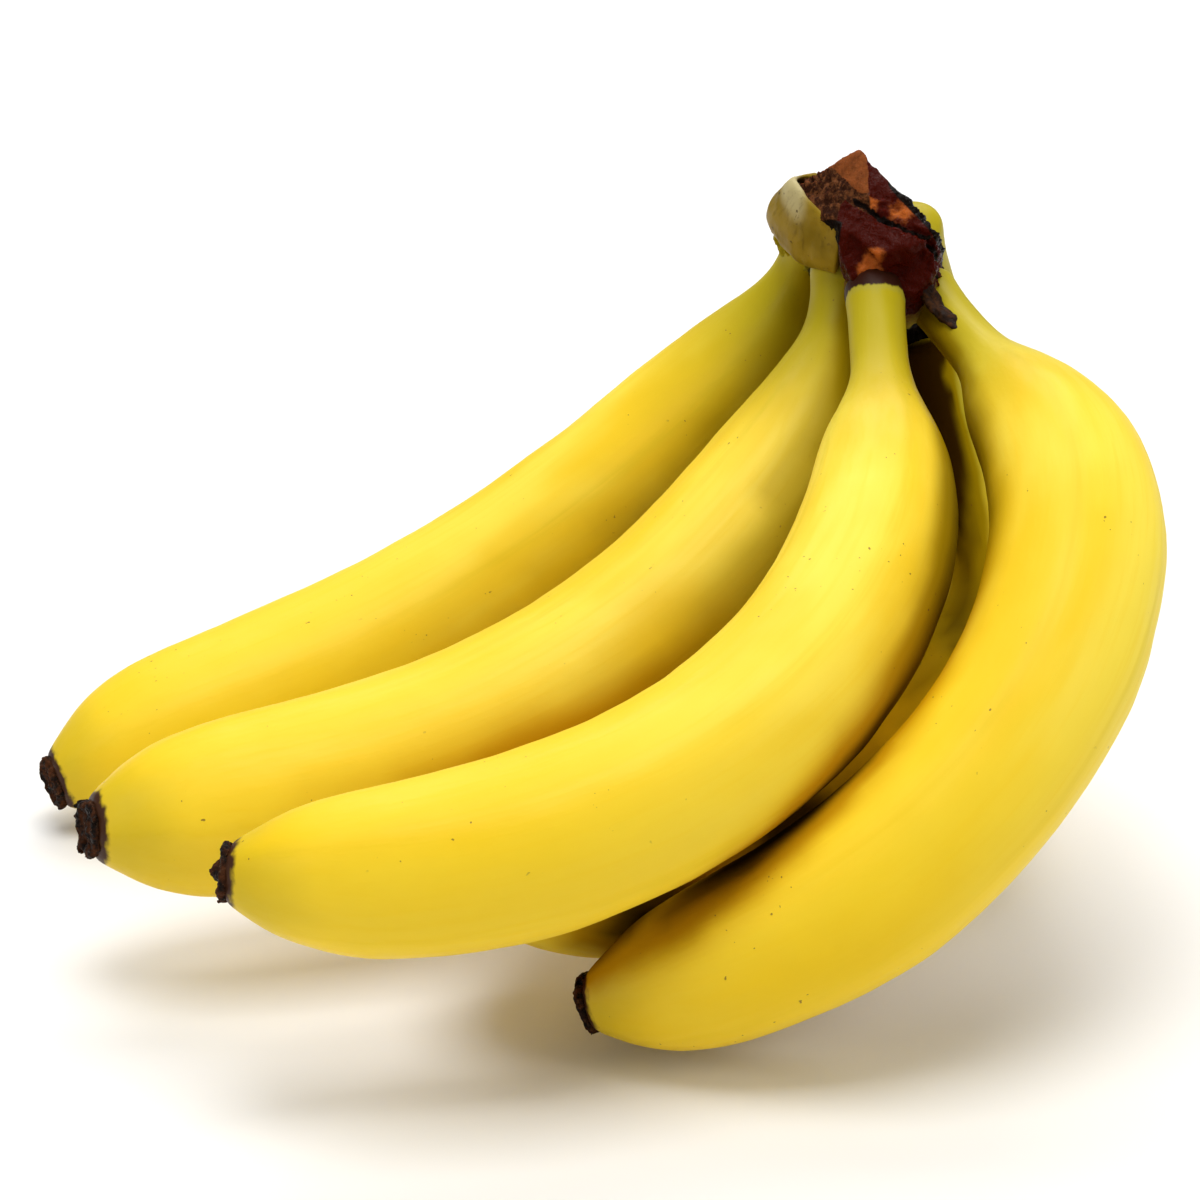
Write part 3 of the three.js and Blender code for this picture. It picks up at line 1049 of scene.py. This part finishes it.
@dataclass
class Crown:
    """The cut cushion that the necks grow from: x across, y up its face, z along the stalk."""

    middle: tuple[float, float, float] = (56, 50, 118)
    axis: tuple[float, float, float] = (-0.13, -0.61, 0.78)
    across: tuple[float, float, float] = (0.956, -0.284, -0.07)
    # Sections of the stump and of the lump in front of it: height, middle and half sizes.
    stump: tuple[Section, ...] = (
        (-28, 7.5, -3.5, 5.0, 5.5),
        (-23, 4.5, -1.0, 9.0, 9.5),
        (-17, 0.0, 0.5, 12.5, 12.5),
        (-11, -4.2, 1.0, 16.7, 13.6),
        (-5, -5.2, 0.5, 18.2, 14.2),
        (0, -4.4, -0.8, 18.2, 14.4),
        (6, -2.6, -1.6, 17.8, 14.2),
        (12, -0.8, -2.0, 16.8, 13.8),
        (17, 0.6, -1.6, 15.6, 13.2),
        (22, 0.6, -1.6, 15.0, 12.8),
    )
    lump: tuple[Section, ...] = (
        (-8, 5.5, -8.0, 7.5, 7.5),
        (-3, 5.5, -9.0, 9.0, 9.0),
        (3, 5.6, -9.4, 9.8, 9.8),
        (9, 5.7, -9.4, 10.0, 9.8),
        (15, 5.6, -9.0, 9.8, 9.4),
        (20, 5.6, -8.8, 9.6, 9.0),
    )
    sides: int = 26
    # Knife cuts: the direction each faces, and how far out along it the cut lies.
    top_cut: tuple[float, float, float, float] = (0.0, 0.0, 1.0, 17.2)
    side_cut: tuple[float, float, float, float] = (0.63, 0.74, 0.224, 8.3)
    left_cut: tuple[float, float, float, float] = (-0.64, 0.584, 0.504, 17.4)
    wall_cut: tuple[float, float, float, float] = (-0.5, -0.86, 0.0, 9.8)
    front_cut: tuple[float, float, float, float] = (0.22, -0.57, 0.79, 18.8)

    def matrix(self) -> Matrix:
        """Where the crown's own frame sits in the bunch."""
        axis = Vector(self.axis).normalized()
        across = Vector(self.across)
        across = (across - axis * across.dot(axis)).normalized()
        up = axis.cross(across)
        turned = Matrix((across, up, axis)).transposed().to_4x4()
        return Matrix.Translation(Vector(self.middle) * MM + WORKING_POINT) @ turned

    def under(self, co: Vector, cut: tuple[float, float, float, float]) -> float:
        """How far a point lies under a cut, in millimetres."""
        facing = Vector(cut[:3])
        return (cut[3] - (co / MM).dot(facing)) / facing.length

    def slice(self, cut: tuple[float, float, float, float]) -> None:
        """Take everything beyond a cut off the mesh in edit mode and close it."""
        facing = Vector(cut[:3])
        bpy.ops.mesh.select_all(action="SELECT")
        bpy.ops.mesh.bisect(
            plane_co=tuple(facing * (cut[3] * MM / facing.length_squared)),
            plane_no=tuple(facing.normalized()),
            use_fill=True,
            clear_outer=True,
        )

    def stack(self, sections: Sequence[Section], cuts: Iterable[tuple]) -> bpy.types.Object:
        """Extrude a block section by section and slice it.

        Args:
            sections: Height, middle and half sizes of each section.
            cuts: The knife cuts that end it.

        Returns:
            The block, in the crown's own frame.
        """
        deselect_everything()
        start = sections[0]
        bpy.ops.mesh.primitive_circle_add(
            vertices=self.sides, radius=MM, fill_type="NGON", location=(0, 0, 0)
        )
        piece = bpy.context.object
        bpy.ops.object.mode_set(mode="EDIT")
        bpy.ops.mesh.select_mode(type="FACE")
        bpy.ops.mesh.select_all(action="SELECT")
        centre = Vector((0, 0, 0))
        size = (1.0, 1.0)
        for i, (z, x, y, half_x, half_y) in enumerate(sections):
            spot = Vector((x, y, z)) * MM
            if i:
                bpy.ops.mesh.extrude_region_move(
                    TRANSFORM_OT_translate={"value": tuple(spot - centre)}
                )
            else:
                bpy.ops.transform.translate(value=tuple(spot))
            bpy.ops.transform.resize(
                value=(half_x / size[0], half_y / size[1], 1), center_override=tuple(spot)
            )
            centre, size = spot, (half_x, half_y)
        bpy.ops.mesh.select_all(action="SELECT")
        bpy.ops.mesh.normals_make_consistent(inside=False)
        for cut in cuts:
            self.slice(cut)
        bpy.ops.mesh.select_all(action="SELECT")
        bpy.ops.mesh.normals_make_consistent(inside=False)
        bpy.ops.object.mode_set(mode="OBJECT")
        return piece

    def build(self) -> bpy.types.Object:
        """Grow the stump and its front lump into one, and roughen it.

        Returns:
            The finished crown.
        """
        stump = self.stack(
            self.stump, (self.top_cut, self.side_cut, self.left_cut, self.wall_cut)
        )
        lump = self.stack(self.lump, (self.top_cut, self.side_cut, self.front_cut))
        deselect_everything()
        stump.select_set(True)
        lump.select_set(True)
        bpy.context.view_layer.objects.active = stump
        bpy.ops.object.join()
        piece = bpy.context.object
        remesh = piece.modifiers.new("Even", "REMESH")
        remesh.mode = "VOXEL"
        remesh.voxel_size = 0.0005
        soften = piece.modifiers.new("Soften", "SMOOTH")
        soften.iterations = 4
        soften.factor = 0.5
        add_lumps(piece, 0.010, 0.0024, "crown_lumps")
        add_lumps(piece, 0.0030, 0.0013, "crown_clods")
        finish_modifiers(piece)
        self.roughen(piece)
        self.mark(piece)
        place(piece, self.matrix())
        shade_smooth(piece)
        return piece

    def heart_at(self, x: float, y: float, z: float) -> float:
        """How much the smooth brown heart of the cut shows at a point, 0 to 1."""
        edge = y - (-0.3 + 0.78 * max(0.0, -2.5 - x))
        return smooth_step(edge, -0.3, 0.7) * smooth_step(z, 10.0, 13.0)

    def groove_at(self, x: float, y: float) -> float:
        """How near a point is to the crack between stump and lump, 0 to 1."""
        level = -1.5 - 0.58 * (x + 3.4) if x < 3.2 else -5.3 - 0.28 * (x - 3.2)
        return (1 - smooth_step(abs(y - level), 0.3, 1.3)) * smooth_step(x, -4.5, -2.5)

    def roughen(self, piece: bpy.types.Object) -> None:
        """Tear up the fibres, crack the groove and leave the heart smooth.

        Args:
            piece: The crown in its own frame.
        """
        normals = [vertex.normal.copy() for vertex in piece.data.vertices]
        for vertex, normal in zip(piece.data.vertices, normals):
            x, y, z = (c / MM for c in vertex.co)
            fibres = noise.noise(Vector((x * 1.1, y * 0.9, z * 0.35)))
            shreds = abs(noise.noise(Vector((x * 2.3, y * 2.0, z * 0.7 + 9))))
            heart = self.heart_at(x, y, z)
            sap = smooth_step(-y - 0.3 * x, 5.0, 8.0)
            torn = (1 - heart) * (1 - 0.75 * sap)
            step = torn * (1.0 * fibres - 0.9 * shreds) - 1.1 * self.groove_at(x, y)
            vertex.co += normal * (step * MM)

    def mark(self, piece: bpy.types.Object) -> None:
        """Write which parts are cut, covered in sap, amber, scorched or green, and the painted
        shade below.

        Args:
            piece: The crown in its own frame.
        """
        names = ("cut", "sap", "heart", "amber", "rim", "green", "painted_shade")
        made: dict[str, list[float]] = {name: [] for name in names}
        for vertex in piece.data.vertices:
            co = vertex.co
            x, y, z = (c / MM for c in co)
            top = self.under(co, self.top_cut)
            front = self.under(co, self.front_cut)
            side = self.under(co, self.side_cut)
            skin = min(top, front, side)
            made["cut"].append(1 - smooth_step(skin, 3.5, 7.5))
            lower = smooth_step(-y - 0.42 * x, 3.6, 6.0) * smooth_step(x, -6.0, -4.0)
            inner = smooth_step(x + 0.3 * y, -1.4, 1.0)
            made["sap"].append(max(lower, inner))
            made["heart"].append(self.heart_at(x, y, z) * (1 - smooth_step(x, 4.0, 6.0)))
            glow = 0.0
            for gx, gy, reach in ((7.2, -3.2, 4.4), (3.2, -14.8, 4.4), (0.5, -2.8, 2.6)):
                glow = max(glow, 1 - math.hypot(x - gx, y - gy) / reach)
            made["amber"].append(glow)
            edge = (1 - smooth_step(side, 0.3, 1.6)) * smooth_step(x, 1.0, 4.0)
            left = (1 - smooth_step(x, -4.6, -2.6)) * smooth_step(-y, 7.0, 8.6)
            made["rim"].append(max(edge, left, 0.95 * self.groove_at(x, y)))
            made["green"].append(1 - smooth_step(z, -8, 2))
            # Painted shade at the lower end of the crown, under its face.
            made["painted_shade"].append((1 - smooth_step(z, -7, 0)) * smooth_step(-y, 0, 4))
        write_attribute(piece, "crown_place", [v.co.copy() for v in piece.data.vertices])
        for name, values in made.items():
            write_attribute(piece, name, [float(value) for value in values])


@dataclass
class Sheath:
    """The strip of skin left round the near side of the crown, in the crown's frame."""

    # For each station round the crown: a point of the lower edge, the belly and the upper edge.
    stations: tuple[tuple[tuple[float, float, float], ...], ...] = (
        ((-16.5, 9.5, -3.0), (-17.0, 9.5, 2.0), (-13.5, 8.6, 8.0)),
        ((-20.0, 4.4, -0.6), (-21.0, 4.2, 5.6), (-15.6, 4.4, 13.6)),
        ((-19.6, -1.8, 1.6), (-20.8, -1.6, 8.4), (-15.4, 0.4, 17.6)),
        ((-14.0, -7.4, 2.0), (-14.9, -7.4, 9.2), (-11.4, -4.4, 17.8)),
        ((-9.6, -9.4, 2.4), (-9.6, -9.4, 9.8), (-7.4, -6.8, 17.4)),
        ((-5.4, -10.6, 3.4), (-4.4, -10.6, 10.0), (-3.2, -8.6, 16.8)),
    )
    around: int = 26
    upward: int = 9
    thick: float = 1.4

    def spot(self, share: float, rise: float) -> Vector:
        """A point of the strip.

        Args:
            share: Place round the crown, 0 at its hidden end.
            rise: Place between the lower edge (0) and the upper edge (1).

        Returns:
            The point, in metres, in the crown's frame.
        """
        last = len(self.stations) - 1
        place_of = share * last
        i = min(last - 1, int(place_of))
        t = place_of - i
        rows = []
        for k in (i - 1, i, i + 1, i + 2):
            low, belly, high = (Vector(p) for p in self.stations[min(last, max(0, k))])
            rows.append(
                low * ((1 - rise) * (1 - 2 * rise))
                + belly * (4 * rise * (1 - rise))
                + high * (rise * (2 * rise - 1))
            )
        a, b, c, d = rows
        eased = (
            b * 2 + (c - a) * t + (a * 2 - b * 5 + c * 4 - d) * t**2
            + (b * 3 - a - c * 3 + d) * t**3
        ) * 0.5
        wave = 0.45 * math.sin(11 * share + 1) * (2 * rise - 1)
        return (eased + Vector((0, 0, wave))) * MM

    def build(self, where: Matrix) -> bpy.types.Object:
        """Lay a grid round the crown, thicken it and round its edges.

        Args:
            where: The crown's place in the bunch.

        Returns:
            The finished sheath.
        """
        deselect_everything()
        bpy.ops.mesh.primitive_grid_add(
            x_subdivisions=self.around, y_subdivisions=self.upward, size=2, location=(0, 0, 0)
        )
        piece = bpy.context.object
        for vertex in piece.data.vertices:
            vertex.co = self.spot((vertex.co.x + 1) / 2, (vertex.co.y + 1) / 2)
        bpy.ops.object.mode_set(mode="EDIT")
        bpy.ops.mesh.select_all(action="SELECT")
        bpy.ops.mesh.normals_make_consistent(inside=False)
        bpy.ops.object.mode_set(mode="OBJECT")
        middle = Vector((0, 0, 5)) * MM
        if sum(p.normal.dot(p.center - middle) for p in piece.data.polygons) < 0:
            piece.data.flip_normals()
        wall = piece.modifiers.new("Wall", "SOLIDIFY")
        wall.thickness = self.thick * MM
        wall.offset = 0.0
        add_subdivision(piece, 2)
        add_lumps(piece, 0.009, 0.0012, "sheath_swell")
        add_lumps(piece, 0.0025, 0.0003, "sheath_grain")
        finish_modifiers(piece)
        self.mark(piece)
        place(piece, where)
        shade_smooth(piece)
        return piece

    def mark(self, piece: bpy.types.Object) -> None:
        """Write the crown's own coordinates and where a painted highlight lightens the skin.

        Args:
            piece: The sheath in the crown's frame.
        """
        places = [vertex.co.copy() for vertex in piece.data.vertices]
        # Painted highlight on the upper edge of the strip's left end.
        highlight_share = [
            smooth_step(co.z / MM, 9, 17) * (1 - smooth_step(co.x / MM, -15, -8)) for co in places
        ]
        write_attribute(piece, "crown_place", places)
        write_attribute(piece, "pale", highlight_share)


@dataclass
class SapRun:
    """A run of sap dried on the neck of a finger. Millimetres from the working point."""

    path: tuple[tuple[float, float, float], ...] = (
        (63.4, 33.4, 116.2),
        (64.6, 32.8, 113.6),
        (66.4, 31.5, 111.1),
        (68.1, 29.2, 109.8),
        (69.7, 26.6, 108.6),
        (70.8, 24.8, 107.6),
    )
    widths: tuple[float, ...] = (2.2, 2.3, 2.0, 1.7, 1.4, 0.6)
    flat: float = 0.55
    sides: int = 10

    def build(self) -> bpy.types.Object:
        """Extrude a flattened run along its path.

        Returns:
            The finished run of sap.
        """
        deselect_everything()
        points = [Vector(p) * MM + WORKING_POINT for p in self.path]
        bpy.ops.mesh.primitive_circle_add(
            vertices=self.sides, radius=self.widths[0] * MM, fill_type="NGON", location=(0, 0, 0)
        )
        piece = bpy.context.object
        bpy.ops.object.mode_set(mode="EDIT")
        bpy.ops.mesh.select_all(action="SELECT")
        bpy.ops.mesh.select_mode(type="FACE")
        ahead = (points[-1] - points[0]).normalized()
        facing = Vector((0.35, -0.85, 0.4))
        facing = (facing - ahead * facing.dot(ahead)).normalized()
        frame = Matrix((ahead.cross(facing) * -1, facing, ahead)).transposed()
        bpy.ops.transform.resize(value=(1, self.flat, 1), center_override=(0, 0, 0))
        local = [frame.transposed() @ (p - points[0]) for p in points]
        for i in range(1, len(local)):
            bpy.ops.mesh.extrude_region_move(
                TRANSFORM_OT_translate={"value": tuple(local[i] - local[i - 1])}
            )
            grow(self.widths[i] / self.widths[i - 1], local[i])
        bpy.ops.mesh.select_all(action="SELECT")
        bpy.ops.mesh.normals_make_consistent(inside=False)
        bpy.ops.object.mode_set(mode="OBJECT")
        place(piece, Matrix.Translation(points[0]) @ frame.to_4x4())
        add_subdivision(piece, 3)
        add_lumps(piece, 0.0035, 0.0014, "sap_lumps")
        add_lumps(piece, 0.0012, 0.0004, "sap_grit")
        finish_modifiers(piece)
        shade_smooth(piece)
        return piece


# ---- the bunch ---------------------------------------------------------------------------
def fingers() -> list[Finger]:
    """The six fingers of the bunch, with the values that the CAD source has for them.

    The values were found by a least-squares fit and rounded. A few were changed afterwards.

    Returns:
        The fingers: four that show whole, from left to right, and two behind them.
    """
    return [
        Finger(
            1, seat=(44.2, 63.7, 117.3), azimuth=107.1, dip=75.2, roll=-6.5,
            shoulder=30.9, sweep=62.5, hook=-17.1, length=208.9,
            girth=18.9, neck=5.9, sway=1.9, root=7.0,
        ),
        Finger(
            2, seat=(48.5, 49.4, 115.5), azimuth=-83.1, dip=60.8, roll=169.3,
            shoulder=22.5, sweep=74.3, hook=-11, length=212.4,
            girth=19.2, neck=9, sway=-5, root=6.6, scab=2.5,
        ),
        Finger(
            3, seat=(54.7, 35.0, 114.1), azimuth=-90.7, dip=27.7, roll=178.8,
            shoulder=-14.1, sweep=114.2, hook=-3.6, length=225.2,
            girth=17.0, neck=24.3, sway=-1.1, root=6.4, scab=6.0,
        ),
        Finger(
            4, seat=(65.4, 45.6, 110.3), azimuth=-66.6, dip=17.7, roll=-147.8,
            shoulder=-21.2, sweep=155.4, hook=-16, length=227.1,
            girth=17.0, neck=23.1, sway=-5.9, root=6.4,
        ),
        # Finger 5 has its painted shade raised on its front side, so the gap it sits in reads
        # dark.
        Finger(
            5, seat=(66.0, 53.7, 96.8), azimuth=-36.9, dip=70.6, roll=-174,
            shoulder=59.2, sweep=66.2, hook=-11.9, length=220.9,
            girth=18.9, neck=48.4, sway=-1.1, root=7.0, front_shade_gain=3.4,
        ),
        Finger(
            6, seat=(62.8, 56.6, 119.2), azimuth=59.5, dip=57.8, roll=-26.3,
            shoulder=31.3, sweep=84.1, hook=1.6, length=194,
            girth=18.8, neck=28, sway=-0.7, root=7.4, dome=4.0,
        ),
    ]


def blossom_ends() -> list[BlossomEnd]:
    """The dried ends of the six fingers.

    Returns:
        One for each finger, in the same order.
    """
    return [
        BlossomEnd(1, flakes=5),
        BlossomEnd(2, flakes=6),
        BlossomEnd(3, spur=2.0, flakes=5),
        BlossomEnd(4, flakes=8),
        BlossomEnd(5, flakes=5),
        BlossomEnd(6, radius=4.6, thick=2.8, flakes=0, slant=0.0),
    ]


@dataclass
class Bunch:
    """The whole bunch and its finishes."""

    peel: PeelFinish = field(default_factory=PeelFinish)
    blossom: BlossomFinish = field(default_factory=BlossomFinish)
    crown_finish: CrownFinish = field(default_factory=CrownFinish)
    sheath_finish: SheathFinish = field(default_factory=SheathFinish)
    drip: DripFinish = field(default_factory=DripFinish)

    def build(self) -> None:
        """Build every piece of the bunch and dress it."""
        peel = self.peel.make()
        dried = self.blossom.make()
        hand = fingers()
        for finger in hand:
            finger.walk()
        for finger, stub in zip(hand, blossom_ends()):
            piece = finger.build(tubes([other for other in hand if other is not finger]))
            piece.data.materials.append(peel)
            join_bunch(piece, f"finger_{finger.number}", Slot.PEEL, f"banana_{finger.number}")
            end = stub.build(finger.tip_matrix())
            end.data.materials.append(dried)
            join_bunch(
                end, f"dried_end_{finger.number}", Slot.BLOSSOM, f"blossom_end_{finger.number}"
            )
        crown = Crown()
        piece = crown.build()
        piece.data.materials.append(self.crown_finish.make())
        join_bunch(piece, "cut_crown", Slot.CROWN, "crown")
        piece = Sheath().build(crown.matrix())
        piece.data.materials.append(self.sheath_finish.make())
        join_bunch(piece, "crown_sheath", Slot.CROWN)
        piece = SapRun().build()
        piece.data.materials.append(self.drip.make())
        join_bunch(piece, "sap_run", Slot.CROWN)


# ---- table, light and camera -------------------------------------------------------------
@dataclass
class Studio:
    """Pale table, soft lamps and the camera."""

    table_size: float = 8.0
    lens: float = 120.0
    sensor: float = 36.0
    elevation: float = 21.0
    distance: float = 0.784
    target: tuple[float, float, float] = (0.0, 0.0, 60.0)
    lamp_colour: Colour = (1.0, 0.99, 0.975)

    def build(self) -> None:
        """Lay the table, hang the lamps and set up the camera."""
        self.lay_table()
        self.light()
        self.aim_camera()

    def lay_table(self) -> None:
        """Lay the plain table that the bunch lies on."""
        deselect_everything()
        bpy.ops.mesh.primitive_plane_add(size=self.table_size, location=(0, 0, 0))
        table = bpy.context.object
        table.name = "table"
        table.data.materials.append(TableFinish().make())

    def lamp(
        self,
        name: str,
        spot: Sequence[float],
        size: float,
        power: float,
        toward: Sequence[float] = (0.0, 0.0, 0.06),
    ) -> None:
        """Hang a square soft lamp.

        Args:
            name: Name of the lamp.
            spot: Where it hangs, in metres.
            size: Its side, in metres.
            power: Its power, in watts.
            toward: The point it looks at.
        """
        data = bpy.data.lights.new(name, "AREA")
        data.size = size
        data.energy = power
        data.color = self.lamp_colour
        lamp = bpy.data.objects.new(name, data)
        bpy.context.scene.collection.objects.link(lamp)
        lamp.location = spot
        aim = Vector(toward) - Vector(spot)
        lamp.rotation_euler = aim.to_track_quat("-Z", "Y").to_euler()

    def light(self) -> None:
        """Soft light from above and both sides, and a pale surrounding."""
        self.lamp("key", (0.05, -0.2, 1.35), 0.8, 13.0)
        self.lamp("left", (-1.2, -0.7, 0.9), 0.7, 4.5)
        self.lamp("right", (1.3, -0.7, 0.8), 0.7, 5.5)
        self.lamp("behind", (0.0, 1.3, 1.4), 1.4, 22.0, (0.0, 1.0, 0.0))
        world = bpy.data.worlds.new("studio")
        world.use_nodes = True
        world.node_tree.nodes["Background"].inputs["Color"].default_value = (0.95, 0.97, 1.0, 1)
        world.node_tree.nodes["Background"].inputs["Strength"].default_value = 0.27
        bpy.context.scene.world = world
        bpy.context.scene.view_settings.view_transform = "Standard"

    def aim_camera(self) -> None:
        """Set up the camera, looking a little down on the hollow side of the bunch."""
        data = bpy.data.cameras.new("camera")
        data.lens = self.lens
        data.sensor_width = self.sensor
        data.clip_start = 0.01
        data.clip_end = 50.0
        camera = bpy.data.objects.new("camera", data)
        bpy.context.scene.collection.objects.link(camera)
        tilt = math.radians(self.elevation)
        back = Vector((0.0, -math.cos(tilt), math.sin(tilt)))
        aim = Vector(self.target) * MM + WORKING_POINT
        camera.location = aim + back * self.distance
        camera.rotation_euler = (-back).to_track_quat("-Z", "Y").to_euler()
        bpy.context.scene.camera = camera


def main() -> None:
    """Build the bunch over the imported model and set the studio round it."""
    logging.basicConfig(level=logging.INFO, format="%(name)s: %(message)s")
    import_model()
    Studio().build()
    Bunch().build()


if __name__ == "__main__":
    main()
